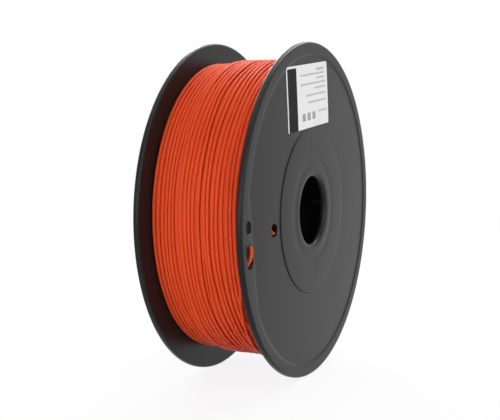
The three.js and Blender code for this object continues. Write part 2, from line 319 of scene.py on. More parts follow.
# %% [markdown]
# ## Satin black plastic
# The flanges and the core are moulded from one black plastic. It is never pure black: the face is a
# dark grey with a broad soft sheen, faintly uneven where the melt flowed, with a fine grain that
# blurs reflections. Three noises at different scales give this. A few hairline scuffs on the
# labelled face catch the light, so they are lighter and a little smoother than the rest. Two weld
# lines on the hub, where the melt flowed together again behind the bore's pin, are a little darker.

# %% Material: satin black plastic
HAIRLINES = [  # x and y of both ends, width in mm and strength, seen on the labelled face
    (-69.7, 7.5, -64.7, 7.6, 0.2, 1.0),
    (-79.0, -9.2, -74.0, -7.6, 0.2, 1.0),
    (-73.5, -10.7, -71.5, -10.9, 0.2, 1.0),
    (-3.6, 27.0, -5.9, 43.6, 0.9, -1.0),
    (1.9, -27.0, 3.2, -42.0, 0.9, -1.3),
]
FACE_STARTS = 0.03  # metres in front of the mid-plane, so that only the labelled face has them
BLACK_LOW, BLACK_HIGH = colour_of(18, 18, 18), colour_of(38, 37, 37)

black_plastic, shader, wire = new_material("satin black plastic")
where = wire.node("ShaderNodeTexCoord", output="Object")
across = wire.node("ShaderNodeSeparateXYZ", inputs={0: where})
along, up = across.other(1), across.other(2)
flow = wire.node("ShaderNodeTexNoise", inputs={"Vector": where, "Scale": 26, "Detail": 4})
mottle = wire.node("ShaderNodeTexNoise", inputs={"Vector": where, "Scale": 420, "Detail": 3})
grain = wire.node("ShaderNodeTexNoise", inputs={"Vector": where, "Scale": 2600, "Detail": 2})


def hairline(x0, y0, x1, y1, width, strength):
    """A mask round a straight line on the face, which fades out at both ends."""
    length = math.hypot(x1 - x0, y1 - y0)
    dx, dy = (x1 - x0) / length, (y1 - y0) / length
    right, high = across - (x0 + x1) / 2 * MM, up - (y0 + y1) / 2 * MM
    beside = (1 - abs(high * dx - right * dy) / (width * MM)).clamped()
    lengthwise = (1 - abs(right * dx + high * dy) / (length / 2 * MM)).clamped()
    return strength * beside * (3 * lengthwise).clamped()


scuff = 0.0
for line in HAIRLINES:
    scuff = hairline(*line) + scuff
scuff = scuff * wire.math("LESS_THAN", along, -FACE_STARTS)
tone = (0.35 * flow + 0.3 * mottle + 0.5 * scuff).clamped()
satin = 0.25 + 0.08 * flow + 0.06 * mottle - 0.06 * scuff
relief = grain + 2 * mottle + 10 * scuff
colour = blended(wire, tone, BLACK_LOW, BLACK_HIGH)
finish_surface(wire, shader, colour, satin, relief, strength=0.2, mirror=0.15)
print("black plastic nodes:", len(wire.tree.nodes))

# %% [markdown]
# ## Orange-red strand
# The strand is a semi-gloss extruded plastic, strongly coloured all through. Light that bounces
# between the turns makes the grooves deep red by itself, and a little light also passes through the
# strand, which subsurface scattering gives. So the colour stays nearly even. Slow changes in tone
# along the strand and a slightly uneven gloss keep it from looking like paint.

# %% Material: orange-red strand
STRAND_DEEP, STRAND_LIGHT = colour_of(212, 66, 29), colour_of(230, 92, 49)

strand_plastic, shader, wire = new_material("orange-red strand")
where = wire.node("ShaderNodeTexCoord", output="Object")
slow = wire.node("ShaderNodeTexNoise", inputs={"Vector": where, "Scale": 30, "Detail": 3})
fine = wire.node("ShaderNodeTexNoise", inputs={"Vector": where, "Scale": 900, "Detail": 2})
tone = (0.7 * slow + 0.3 * fine).clamped()
colour = blended(wire, tone, STRAND_DEEP, STRAND_LIGHT)
finish_surface(wire, shader, colour, 0.38 + 0.14 * slow, fine, strength=0.2, mirror=0.08)
shader.inputs["Subsurface Weight"].default_value = 0.6
shader.inputs["Subsurface Radius"].default_value = (1.0, 0.22, 0.08)
shader.inputs["Subsurface Scale"].default_value = 0.0015
print("strand nodes:", len(wire.tree.nodes))

# %% [markdown]
# ## The flange
# The flange is a disc whose plate lies a little lower than the outer ring and the hub, with a hollow
# behind the plate and a boss that seats the core. The plate is a very shallow dome, less than half a
# millimetre high. That is enough to shade it, darker towards the camera and lighter away from it. A
# turned profile gives nearly all of the flange. The plate's outline has one straight cut beside the
# parking holes, so the profile's plate points follow an outline that changes with the clock angle.

# %% The flange's profile
FLAT_CLOCK, FLAT_DISTANCE = math.radians(182.8), 85.4  # where the straight cut comes nearest the axis
SOFT_CUT = 1.2  # mm over which the round outline turns into the straight cut
BOSS_RADIUS, HOLLOW_RADIUS = 52.5, 84.6  # the hollow behind the plate lies between them


def plate_reach(clock):
    """The plate's outline radius at a clock angle, softened where the straight cut begins."""
    away = math.cos(clock - FLAT_CLOCK)
    if away <= 0.5:  # more than 60 degrees from the cut
        return PLATE_RADIUS
    straight = FLAT_DISTANCE / away
    mix = max(0.0, min(1.0, 0.5 + 0.5 * (PLATE_RADIUS - straight) / SOFT_CUT))
    return PLATE_RADIUS * (1 - mix) + straight * mix - SOFT_CUT * mix * (1 - mix)


def plate_height(part):
    """The plate's height at a share of the way from the hub out to its edge, as a shallow dome."""
    return PLATE_FACE - PLATE_DOME * part**2


def shoulder_height(part):
    """The face's height at a share of the way from the plate's edge up to the rim, as a cosine rise."""
    return plate_height(1) + (RIM_FACE - plate_height(1)) * (1 - math.cos(math.pi * part)) / 2


PLATE_RINGS, SHOULDER_RINGS = 12, 8
plate_width = PLATE_RADIUS - LIP_RADIUS
face_points = []  # from the rim in to the hub; nearer the hub they follow the outline less
for k in range(SHOULDER_RINGS, 0, -1):
    part = k / SHOULDER_RINGS
    face_points.append((PLATE_RADIUS + SHOULDER_WIDTH * part, shoulder_height(part), 0, 1))
for k in range(PLATE_RINGS, 0, -1):
    part = k / PLATE_RINGS
    face_points.append((LIP_RADIUS + plate_width * part, plate_height(part), 0, part**2))

FLANGE_PROFILE = rounded(
    [
        (DRUM_RADIUS + SEAT_GAP, RIM_INNER, 0.3, 0),
        (BOSS_RADIUS, RIM_INNER, 0.3, 0),
        (BOSS_RADIUS, PLATE_INNER, 0.25, 0),
        (HOLLOW_RADIUS, PLATE_INNER, 0.25, 0),
        (HOLLOW_RADIUS, RIM_INNER, 0.3, 0),
        (RIM_RADIUS, RIM_INNER, 1.1, 0),
        (RIM_RADIUS, RIM_FACE, 1.3, 0),
        *face_points,
        (LIP_RADIUS + LIP_GAP, PLATE_FACE, 0.15, 0),
        (LIP_RADIUS + LIP_GAP, LIP_UNDER - SEAT_GAP, 0.1, 0),
        (DRUM_RADIUS + SEAT_GAP, LIP_UNDER - SEAT_GAP, 0.1, 0),
    ]
)
print("flange profile points:", len(FLANGE_PROFILE))

# %% [markdown]
# The three openings are cut with tools that flare at both faces. That leaves a small chamfer round
# each hole, as the mould's shut-off leaves on the real one, and it catches a thin line of light.

# %% Hole cutters
HOLE_CHAMFER = 0.35
CUT_THROUGH = (25, 37)  # heights well under and over the flange's wall


def cutter(outline, bottom, top):
    """A tool that cuts an outline through a wall from bottom to top, with chamfers at both faces."""
    under, over = CUT_THROUGH
    levels = [(under, HOLE_CHAMFER), (bottom, HOLE_CHAMFER), (bottom + HOLE_CHAMFER, 0)]
    levels += [(top - HOLE_CHAMFER, 0), (top, HOLE_CHAMFER), (over, HOLE_CHAMFER)]
    points, faces = [], []
    count = len(outline)
    for height, grow in levels:
        for (x, y), (nx, ny) in outline:
            points.append((x + nx * grow, y + ny * grow, height))
    for i in range(len(levels) - 1):
        for k in range(count):
            n = (k + 1) % count
            faces.append((i * count + k, i * count + n, (i + 1) * count + n, (i + 1) * count + k))
    faces.append(tuple(range(count - 1, -1, -1)))
    faces.append(tuple((len(levels) - 1) * count + k for k in range(count)))
    tool = new_piece("cutter", points, faces)
    face_outwards(tool)
    return tool


def slot_outline(centre_radius, clock, radius, length, steps=20):
    """Points and outward directions of a round-ended slot, square to the radius at its clock angle."""
    made = []
    out = Vector((math.cos(clock), math.sin(clock)))
    side = Vector((-out.y, out.x))
    for end in (1, -1):
        for k in range(steps + 1):
            turn = math.pi * k / steps + (0 if end == 1 else math.pi)
            normal = out * math.cos(turn) + side * math.sin(turn)
            point = out * centre_radius + side * end * (length / 2 - radius) + normal * radius
            made.append((point[:], normal[:]))
    return made


def round_outline(centre_radius, clock, radius, steps=40):
    """Points and outward directions of a circle, with its middle at a radius and a clock angle."""
    made = []
    centre = Vector((math.cos(clock), math.sin(clock))) * centre_radius
    for k in range(steps):
        turn = 2 * math.pi * k / steps
        normal = Vector((math.cos(turn), math.sin(turn)))
        made.append(((centre + normal * radius)[:], normal[:]))
    return made


print("the cutters reach from {} to {} mm".format(*CUT_THROUGH))

# %% The three openings
START_HOLE = (57.6, math.radians(178.3))  # the middle's radius and clock angle
PARK_HOLE = (91.0, math.radians(172.9))
PARK_SLOT = (91.0, math.radians(183.0))
START_RADIUS, PARK_RADIUS, SLOT_LENGTH = 3.8, 3.3, 13.0
openings = [  # each with the heights of the wall that it goes through
    (round_outline(*START_HOLE, START_RADIUS), PLATE_INNER, PLATE_FACE),
    (round_outline(*PARK_HOLE, PARK_RADIUS), RIM_INNER, RIM_FACE),
    (slot_outline(*PARK_SLOT, PARK_RADIUS, SLOT_LENGTH), RIM_INNER, RIM_FACE),
]
print("openings in each flange:", len(openings))


# %% Turn, cut and place both flanges
def flange_moulding(side):
    """One side's flange, turned, cut and put where the frame has it."""
    piece = turned(
        f"{side}_flange_moulding",
        FLANGE_PROFILE,
        segments=288,
        outline_shift=lambda clock: plate_reach(clock) - PLATE_RADIUS,
    )
    face_outwards(piece)
    for outline, bottom, top in openings:
        combine(piece, cutter(outline, bottom, top), "DIFFERENCE")
    place(piece, half_frame(side))
    return painted(smooth(piece), black_plastic)


flanges = {side: flange_moulding(side) for side in ("front", "rear")}
for piece in flanges.values():
    print(piece.name, "faces:", len(piece.data.polygons))

# %% [markdown]
# ## The core
# Each core half is a hub disc with a drum wall. Its face dips a little and then swells to a collar
# round the spindle bore, which reads as gentle bands of light. The bands are cosine swells, because a
# moulded form like this has no corners.

# %% The core half's profile
COLLAR = [(33.8, 0.0), (29.4, -0.13), (24.4, 0.05), (23.2, 0.0)]  # radius, and height over the hub face
BORE_ROUND = (3.0, 2.2)  # across and deep
LIP_FALL, LIP_SLOPE = 0.16, 3.2  # the hub's face falls by this at its edge, over this width
HALVES_GAP = 0.15  # from each drum wall to the mid-plane
BEAD = 0.7  # the snap bead on the drum, which keeps the flange on
BEAD_STARTS, BEAD_FULL, BEAD_ENDS = 27.35, 28.05, 28.75


def collar(steps=8):
    """Cosine swells through the collar's places, and then the bore's round edge."""
    made = []
    across, deep = BORE_ROUND
    for (r0, h0), (r1, h1) in zip(COLLAR, COLLAR[1:]):
        for k in range(steps):
            ease = (1 - math.cos(math.pi * k / steps)) / 2
            made.append((r0 + (r1 - r0) * k / steps, h0 + (h1 - h0) * ease))
    for k in range(steps + 1):
        lean = math.pi / 2 * k / steps
        r = BORE_RADIUS + across * (1 - math.sin(lean))
        made.append((r, COLLAR[-1][1] - deep * (1 - math.cos(lean))))
    return [(r, HUB_FACE + h, 0, 0) for r, h in made]


CORE_PROFILE = rounded(
    [
        (BORE_RADIUS, WEB_INNER, 0.5, 0),
        (DRUM_INNER, WEB_INNER, 1.0, 0),
        (DRUM_INNER, HALVES_GAP, 0.3, 0),
        (DRUM_RADIUS, HALVES_GAP, 0.3, 0),
        (DRUM_RADIUS, BEAD_STARTS, 0, 0),
        (DRUM_RADIUS + BEAD, BEAD_FULL, 0.2, 0),
        (DRUM_RADIUS + BEAD, BEAD_ENDS, 0.2, 0),
        (DRUM_RADIUS, BEAD_ENDS, 0, 0),
        (DRUM_RADIUS, LIP_UNDER, 0.2, 0),
        (LIP_RADIUS, LIP_UNDER, 0.15, 0),
        (LIP_RADIUS, HUB_FACE - LIP_FALL, 0.3, 0),
        (LIP_RADIUS - LIP_SLOPE, HUB_FACE, 0, 0),
        *collar(),
    ]
)
print("core profile points:", len(CORE_PROFILE))

# %% [markdown]
# Inside the drum, four ribs stiffen the hub disc, and hooked tabs of each half snap behind catches of
# the other. They repeat round the axis by one rule, so Geometry Nodes place them: one set is drawn,
# and the tree turns copies of it about the axis.


# %% A Geometry Nodes tree that repeats a set round the axis
def geometry_tree(name, inputs):
    """An empty tree with named inputs, its input wires and the inputs' identifiers."""
    tree = bpy.data.node_groups.new(name, "GeometryNodeTree")
    tree.interface.new_socket("Geometry", in_out="INPUT", socket_type="NodeSocketGeometry")
    tree.interface.new_socket("Geometry", in_out="OUTPUT", socket_type="NodeSocketGeometry")
    identifiers = {}
    for label, kind in inputs.items():
        made = tree.interface.new_socket(label, in_out="INPUT", socket_type=f"NodeSocket{kind}")
        identifiers[label] = made.identifier
    group = tree.nodes.new("NodeGroupInput")
    wires = {socket.name: Wire(tree, socket) for socket in group.outputs if socket.name}
    return tree, wires, identifiers


def finish_tree(wires, geometry):
    """Realizes the instances, sets the material and closes the tree."""
    start = wires["Geometry"]
    real = start.node("GeometryNodeRealizeInstances", inputs={"Geometry": geometry})
    done = start.node("GeometryNodeSetMaterial", inputs={"Geometry": real, "Material": wires["Material"]})
    start.node("NodeGroupOutput", inputs={"Geometry": done})


def run_tree(piece, tree, identifiers, values):
    """Adds the tree to a piece with its input values, and keeps the result as a plain mesh."""
    modifier = piece.modifiers.new(tree.name, "NODES")
    modifier.node_group = tree
    for label, value in values.items():
        modifier[identifiers[label]] = value
    return made_plain(piece)


round_tree, wires, round_inputs = geometry_tree("round the axis", {"Count": "Int", "Material": "Material"})
start = wires["Geometry"]
spots = start.node("GeometryNodeMeshLine", inputs={"Count": wires["Count"], "Offset": (0, 0, 0)})
number = start.node("GeometryNodeInputIndex")
turn = start.node("ShaderNodeCombineXYZ", inputs={"Z": 2 * math.pi * (number / wires["Count"])})
copies = start.node(
    "GeometryNodeInstanceOnPoints", inputs={"Points": spots, "Instance": start, "Rotation": turn}
)
finish_tree(wires, copies)
print("inputs of the tree:", round_inputs)

# %% One set of rib, tab and catch
BURIED = DRUM_INNER + 1.25  # the fittings' roots end in the middle of the drum wall
RIB_DEPTH, RIB_WIDTH, RIB_ROOT = 8.0, 2.0, 1.5  # the root is sunk in the hub disc
RIB_INNER, RIB_CORNER = BORE_RADIUS + 2.5, (2.5, 3)  # the cut corner's size across and up
CATCH_RADIUS, CATCH_BOTTOM, CATCH_TOP = DRUM_INNER - 1.5, 2, 4
TAB_REACH, TAB_ROOT = 11.0, 1  # past the mid-plane, and the root's height over it
TAB_WIDTH, TAB_THICKNESS = 5.0, 1.9
TAB_OUTER = CATCH_RADIUS - SEAT_GAP
TAB_INNER = TAB_OUTER - TAB_THICKNESS
TAB_CLOCK = math.radians(6.5)
HOOK_RADIUS, HOOK_FACE = DRUM_INNER - 0.45, -4.3
EDGE_ROUND = 0.25
FITTING_SETS = 4


def plate_of(outline, width, clock):
    """A side view of [radius, height] points given a width, square to the radius at a clock angle."""
    count = len(outline)
    points = [(r, -width / 2, h) for r, h in outline] + [(r, width / 2, h) for r, h in outline]
    faces = [tuple(range(count)), tuple(range(2 * count - 1, count - 1, -1))]
    for k in range(count):
        n = (k + 1) % count
        faces.append((k, k + count, n + count, n))
    piece = new_piece("fitting", points, faces)
    edge = piece.modifiers.new("edge", "BEVEL")
    edge.width, edge.segments, edge.limit_method = EDGE_ROUND, 2, "ANGLE"
    made_plain(piece)
    face_outwards(piece)
    return place(piece, Matrix.Rotation(clock, 4, "Z"))


def joined(pieces):
    """Several meshes as one, in the first one's object."""
    work = bmesh.new()
    for piece in pieces:
        work.from_mesh(piece.data)
    work.to_mesh(pieces[0].data)
    work.free()
    for piece in pieces[1:]:
        bpy.data.objects.remove(piece)
    return pieces[0]


def fitting_set():
    """A rib, a tab and the catch that holds the other half's tab, as one mesh."""
    top, bottom = WEB_INNER + RIB_ROOT, WEB_INNER - RIB_DEPTH
    rib = [(RIB_INNER + RIB_CORNER[0], bottom), (BURIED, bottom), (BURIED, top), (RIB_INNER, top)]
    rib.append((RIB_INNER, bottom + RIB_CORNER[1]))
    tab = [(BURIED, TAB_ROOT), (BURIED, TAB_REACH), (TAB_INNER, TAB_REACH - (BURIED - TAB_INNER))]
    tab += [(TAB_INNER, -TAB_REACH), (TAB_OUTER, -TAB_REACH), (HOOK_RADIUS, (HOOK_FACE - TAB_REACH) / 2)]
    tab += [(HOOK_RADIUS, HOOK_FACE), (TAB_OUTER, HOOK_FACE), (TAB_OUTER, TAB_ROOT)]
    catch = [(CATCH_RADIUS, CATCH_BOTTOM), (BURIED, CATCH_BOTTOM), (BURIED, CATCH_TOP)]
    catch.append((CATCH_RADIUS, CATCH_TOP))
    shapes = [(rib, RIB_WIDTH, 0.0), (tab, TAB_WIDTH, TAB_CLOCK), (catch, TAB_WIDTH, -TAB_CLOCK)]
    return joined([plate_of(*shape) for shape in shapes])


print("tab runs from radius", round(TAB_INNER, 2), "to", round(TAB_OUTER, 2), "mm")


# %% Turn both core halves, join their fittings and place them
def core_moulding(side):
    """One side's core half, turned, fitted out and put where the frame has it."""
    values = {"Count": FITTING_SETS, "Material": black_plastic}
    fittings = run_tree(fitting_set(), round_tree, round_inputs, values)
    piece = turned(f"{side}_core_moulding", CORE_PROFILE, segments=192)
    face_outwards(piece)
    combine(piece, fittings, "UNION")
    place(piece, half_frame(side))
    return painted(smooth(piece), black_plastic)


cores = {side: core_moulding(side) for side in ("front", "rear")}
for piece in cores.values():
    print(piece.name, "faces:", len(piece.data.polygons))

# %% [markdown]
# ## The winding
# A full spool shows one long strand laid in turns. The outermost turns aren't perfect: they lie a
# little apart, drift together from turn to turn, and let the layer below show between them. The last
# layer also stops short of the rear flange, so the winding steps down there. A helix with noise
# follows such rules, so Geometry Nodes make it. The piece's own points say where each turn lies, and
# noise over the place round the spool and the turn's number moves neighbours together.

# %% A Geometry Nodes tree that winds a strand
WINDING_LENGTHS = [
    *("Radius", "Step height", "Step starts", "Step ends", "Lift at the top", "Lift at the bottom"),
    *("Wander", "Uneven height", "Strand radius"),
]
winding_inputs = dict.fromkeys(["Turns", "Steps per turn", "Sides"], "Int")
winding_inputs |= dict.fromkeys([*WINDING_LENGTHS, "Seed"], "Float") | {"Material": "Material"}
wind_tree, wires, wind_inputs = geometry_tree("wind a strand", winding_inputs)
start = wires["Geometry"]
step = start.node("GeometryNodeInputIndex")
turn_number = step / wires["Steps per turn"]
clock = math.pi - turn_number * (2 * math.pi)
cosine, sine = start.math("COSINE", clock), start.math("SINE", clock)
print("inputs of the tree:", len(wind_inputs))

# %% Where the strand lies across the spool
DRIFT_ROUND, DRIFT_BETWEEN = 1.2, 0.3  # the noise's pace round the spool, and slower between turns
FREE_MIDDLE, EDGE_POWER = 1.2, 6  # the drift is free in the middle and dies out at the flanges
whole = start.math("FLOOR", turn_number)
position = start.node("GeometryNodeInputPosition")


def laid(number):
    """Where the turn of this number crosses nine o'clock, from the piece's own points."""
    sampled = start.node(
        "GeometryNodeSampleIndex",
        {"data_type": "FLOAT_VECTOR", "clamp": True},
        {"Geometry": start, "Value": position, "Index": number},
    )
    return start.node("ShaderNodeSeparateXYZ", inputs={0: sampled})


def smooth_noise(x, y, z, detail):
    """A noise over the place round the spool and the turn's number."""
    spot = start.node("ShaderNodeCombineXYZ", inputs={"X": x, "Y": y, "Z": z + wires["Seed"]})
    return start.node("ShaderNodeTexNoise", inputs={"Vector": spot, "Scale": 1, "Detail": detail})


part = turn_number - whole
resting = laid(whole) * (1 - part) + laid(whole + 1) * part
middle = resting / (HALF_TRAVEL * MM)
drift = smooth_noise(DRIFT_ROUND * cosine, DRIFT_ROUND * sine, DRIFT_BETWEEN * turn_number, 2)
room = (FREE_MIDDLE - start.math("POWER", abs(middle), EDGE_POWER) * FREE_MIDDLE).clamped()
across_spool = resting + room * wires["Wander"] * (2 * drift - 1)
print("nodes so far:", len(wind_tree.nodes))

# %% How far out the strand lies
PROUD_ROUND, PROUD_BETWEEN = 1.3, 1.7  # its pace, faster between turns, so that neighbours differ
OTHER_PLACE = 5  # away from where the drift reads its noise
TUCK_PACE, TUCK_DEPTH = 9, 1.6  # both ends dive in a ninth of a turn, by so many strand radii
proud = smooth_noise(PROUD_ROUND * cosine - OTHER_PLACE, PROUD_ROUND * sine, PROUD_BETWEEN * turn_number, 1)
stepped = start.node(
    "ShaderNodeMapRange",
    {"interpolation_type": "SMOOTHSTEP"},
    {"Value": across_spool, "From Min": wires["Step starts"], "From Max": wires["Step ends"]},
)
first_end = (1 - turn_number * TUCK_PACE).clamped()
last_end = (1 - (wires["Turns"] - turn_number) * TUCK_PACE).clamped()
out = (
    wires["Radius"]
    + wires["Step height"] * stepped
    + wires["Lift at the top"] * start.math("MAXIMUM", sine, 0)
    + wires["Lift at the bottom"] * start.math("MAXIMUM", 0 - sine, 0)
    + wires["Uneven height"] * (2 * proud - 1)
    - (first_end + last_end) * wires["Strand radius"] * TUCK_DEPTH
)
print("nodes so far:", len(wind_tree.nodes))


# %% The helix, and the strand along it
def sweep_strand(wires, line):
    """Runs the strand's round section along a line of mesh edges, and closes the tree."""
    start = wires["Geometry"]
    curve = start.node("GeometryNodeMeshToCurve", inputs={"Mesh": line})
    section = {"Resolution": wires["Sides"], "Radius": wires["Strand radius"]}
    ring = start.node("GeometryNodeCurvePrimitiveCircle", inputs=section)
    along_it = {"Curve": curve, "Profile Curve": ring, "Fill Caps": True}
    tube = start.node("GeometryNodeCurveToMesh", inputs=along_it)
    finish_tree(wires, start.node("GeometryNodeSetShadeSmooth", inputs={"Geometry": tube}))


helix = {"X": out * cosine, "Y": 0 - across_spool, "Z": out * sine}
helix_place = start.node("ShaderNodeCombineXYZ", inputs=helix)
count = wires["Turns"] * wires["Steps per turn"] + 1
points = start.node("GeometryNodeMeshLine", inputs={"Count": count, "Offset": (0, 0, MM)})
moved = start.node("GeometryNodeSetPosition", inputs={"Geometry": points, "Position": helix_place})
sweep_strand(wires, moved)
print("winding tree nodes:", len(wind_tree.nodes))


# %% The outer turns and the layer under them
TURNS_AT_NINE = [  # where the outer turns cross nine o'clock, in mm in front of the mid-plane
    *(-27.9, -27.8, -25.3, -22.5, -20.2, -18.1, -15.7, -12.8, -10.1, -7.5, -5.1, -2.8),
    *(0.0, 3.7, 6.2, 9.5, 12.0, 15.0, 17.8, 20.0, 22.6, 24.9, 27.6, 27.9),
]
UNDER_TURNS = [(a + b) / 2 for a, b in zip(TURNS_AT_NINE, TURNS_AT_NINE[1:])]
SURFACE, SURFACE_STEP = 86.0, 2.0  # the winding's radius at the rear flange, and its step up
STEP_STARTS, STEP_ENDS = -15.5, -11.0  # in mm in front of the mid-plane
LIFT_TOP, LIFT_BOTTOM = 1.9, 0.3  # the winding isn't quite round
WANDER = 1.6  # mm that a turn may drift to either side
TURN_STEPS, WINDING_SEED = 120, 3.7
UNDER_DEPTH = 1.15  # less than a strand, because the under layer lies in the outer one's gaps
PACKED_DEPTH = 3.0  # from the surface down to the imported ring, just under the under layer


def wound(name, places, depth, sides, uneven):
    """A layer of turns through its places at nine o'clock, at a depth under the surface."""
    piece = new_piece(name, [(x * MM, 0, 0) for x in places], [])
    radius, steps = SURFACE - STRAND / 2 - depth, (SURFACE_STEP, STEP_STARTS, STEP_ENDS)
    lengths = [radius, *steps, LIFT_TOP, LIFT_BOTTOM, WANDER, uneven, STRAND / 2]
    values = {"Turns": len(places) - 1, "Steps per turn": TURN_STEPS, "Sides": sides}
    values |= {label: length * MM for label, length in zip(WINDING_LENGTHS, lengths)}
    values |= {"Seed": WINDING_SEED, "Material": strand_plastic}
    run_tree(piece, wind_tree, wind_inputs, values)
    face_outwards(piece)
    return smooth(piece, limit=60)


outer_turns = wound("filament_outer_turns", TURNS_AT_NINE, depth=0, sides=12, uneven=0.45)
under_turns = wound("filament_under_turns", UNDER_TURNS, depth=UNDER_DEPTH, sides=10, uneven=0.12)
print("outer turns:", len(TURNS_AT_NINE) - 1, "under turns:", len(UNDER_TURNS) - 1)

# %% [markdown]
# The deeper layers are never seen from outside, apart from their packed edges behind the start hole.
# They are one turned ring, which steps down at the rear flange as the surface does. Its two sides
# have a row of strand-sized rounds.

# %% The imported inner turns
ROW_PITCH, ROW_STEPS = 1.56, 6  # mm between nested rows, and points to a row's round
ROW_ROUND = 0.5  # how deep the groove between two rows is
FOOT, FOOT_SIDE = 0.9, 25.9  # the ring's chamfer at the drum


def packed_profile():
    """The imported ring's closed profile, from the rear side to the front side."""
    bottom, side = DRUM_RADIUS + SEAT_GAP, RIM_INNER - SEAT_GAP
    rear_top = SURFACE - PACKED_DEPTH
    front_top = rear_top + SURFACE_STEP

    def rows_up(sign, top):
        found = []
        rows = int((top - bottom - FOOT) / ROW_PITCH)
        pitch = (top - bottom - FOOT) / rows
        for row in range(rows):
            for k in range(ROW_STEPS):
                part = k / ROW_STEPS
                deep = ROW_ROUND * (1 - math.sin(math.pi * part))
                found.append((bottom + FOOT + (row + part) * pitch, sign * (side - deep), 0))
        return [*found, (top, sign * (side - ROW_ROUND), 0)]

    made = [(bottom, -FOOT_SIDE, 0), *rows_up(-1, rear_top)]
    made += [(rear_top, STEP_STARTS, 0), (front_top, STEP_ENDS, 0)]
    return [*made, *rows_up(1, front_top)[::-1], (bottom, FOOT_SIDE, 0)]


inner_turns = turned("filament_inner_turns", packed_profile(), segments=128)
face_outwards(inner_turns)
place(inner_turns, half_frame("front"))
painted(smooth(inner_turns, limit=60), strand_plastic)
print("inner turns: faces", len(inner_turns.data.polygons))

# %% [markdown]
# ## The strand's two ends
# The last stretch crosses over the outer turns towards the labelled flange, rises off the winding and
# is pushed through the parking slot. The first end is pushed through the start hole and leans on its
# edge. Both follow a drawn path, so a second small tree sweeps the strand along a line of points.

# %% A Geometry Nodes tree that sweeps a strand along a path
sweep_tree, wires, sweep_inputs = geometry_tree(
    "sweep a strand", {"Sides": "Int", "Strand radius": "Float", "Material": "Material"}
)
sweep_strand(wires, wires["Geometry"])


def through(places, steps=12):
    """A smooth line of points through the given places, as a Catmull-Rom spline."""
    p = [np.array(x, float) for x in places]
    p = [2 * p[0] - p[1], *p, 2 * p[-1] - p[-2]]
    made = []
    for a, b, c, d in zip(p, p[1:], p[2:], p[3:]):
        square, cube = 2 * a - 5 * b + 4 * c - d, 3 * b - a - 3 * c + d
        for t in np.arange(steps) / steps:
            made.append(0.5 * (2 * b + (c - a) * t + square * t**2 + cube * t**3))
    return [*made, p[-2]]


def swept(name, line):
    """A strand along a line of points in metres."""
    piece = new_piece(name, line, [], [(i, i + 1) for i in range(len(line) - 1)])
    values = {"Sides": 20, "Strand radius": STRAND / 2 * MM, "Material": strand_plastic}
    run_tree(piece, sweep_tree, sweep_inputs, values)
    face_outwards(piece)
    return smooth(piece, limit=50)


print("inputs of the tree:", sweep_inputs)

# %% The free end, parked in the slot
FREE_END = [  # clock angle in degrees, radius and height over the mid-plane, in mm
    (262, 86.6, 13.2),
    (252, 88.0, 14.2),
    (244, 89.0, 15.2),
    (234, 89.2, 16.8),
    (222, 89.3, 18.9),
    (210, 89.3, 21.5),
    (202, 89.4, 24.6),
    (197, 90.0, 27.2),
    (194.5, 90.4, 29.2),
    (192.6, 90.8, 31.3),
    (191.0, 90.9, 32.7),
    (189.4, 90.9, 33.45),
    (187.8, 90.8, 33.65),
    (186.6, 90.7, 33.45),
]


def on_spool(clock, radius, height):
    """A place by its clock angle, radius and height, in the frame's metres."""
    turn = math.radians(clock)
    return (radius * math.cos(turn) * MM, -height * MM, radius * math.sin(turn) * MM)


free_end = swept("filament_free_end", [on_spool(*p) for p in through(FREE_END)])
print("free end's tip in mm:", [round(x / MM, 1) for x in on_spool(*FREE_END[-1])])

# %% The start end, in the start hole
hole_x = START_HOLE[0] * math.cos(START_HOLE[1] + ROLL)
hole_y = START_HOLE[0] * math.sin(START_HOLE[1] + ROLL)
START_END = [  # across, up and height over the mid-plane, in mm
    (hole_x - 0.3, hole_y + 6.0, 28.0),
    (hole_x - 0.6, hole_y + 3.2, 28.3),
    (hole_x - 0.7, hole_y + 0.8, 29.3),
    (hole_x - 0.7, hole_y - 0.9, 31.0),
    (hole_x - 0.6, hole_y - 1.8, 32.5),
]
start_line = [(x * MM, -h * MM, y * MM) for x, y, h in through(START_END, 8)]
start_end = swept("filament_start_stub", start_line)
print("start end's tip in mm:", [round(x / MM, 1) for x in start_line[-1]])

# %% [markdown]
# ## The label
# The label is coated paper stuck on the plate. A fine grid follows the flange's own surface and gets
# the paper's thickness. The print is generic: a plain dark strip, grey bars and three grey blocks.

# %% The label's sheet
LABEL_SIZE = (63.0, 37.3)  # width and height
LABEL_CORNER = 1.2
LABEL_PLACE = (68.55, math.radians(89.2))  # the middle's radius and clock angle
LABEL_TILT = math.radians(-2.5)
PAPER, GLUE = 0.18, 0.02  # thicknesses


def face_height(radius, clock):
    """The flange's surface height at a radius and a clock angle, in its own frame."""
    past = radius - plate_reach(clock)
    if past < 0:
        return plate_height((radius - LIP_RADIUS) / plate_width)
    return shoulder_height(min(1.0, past / SHOULDER_WIDTH))


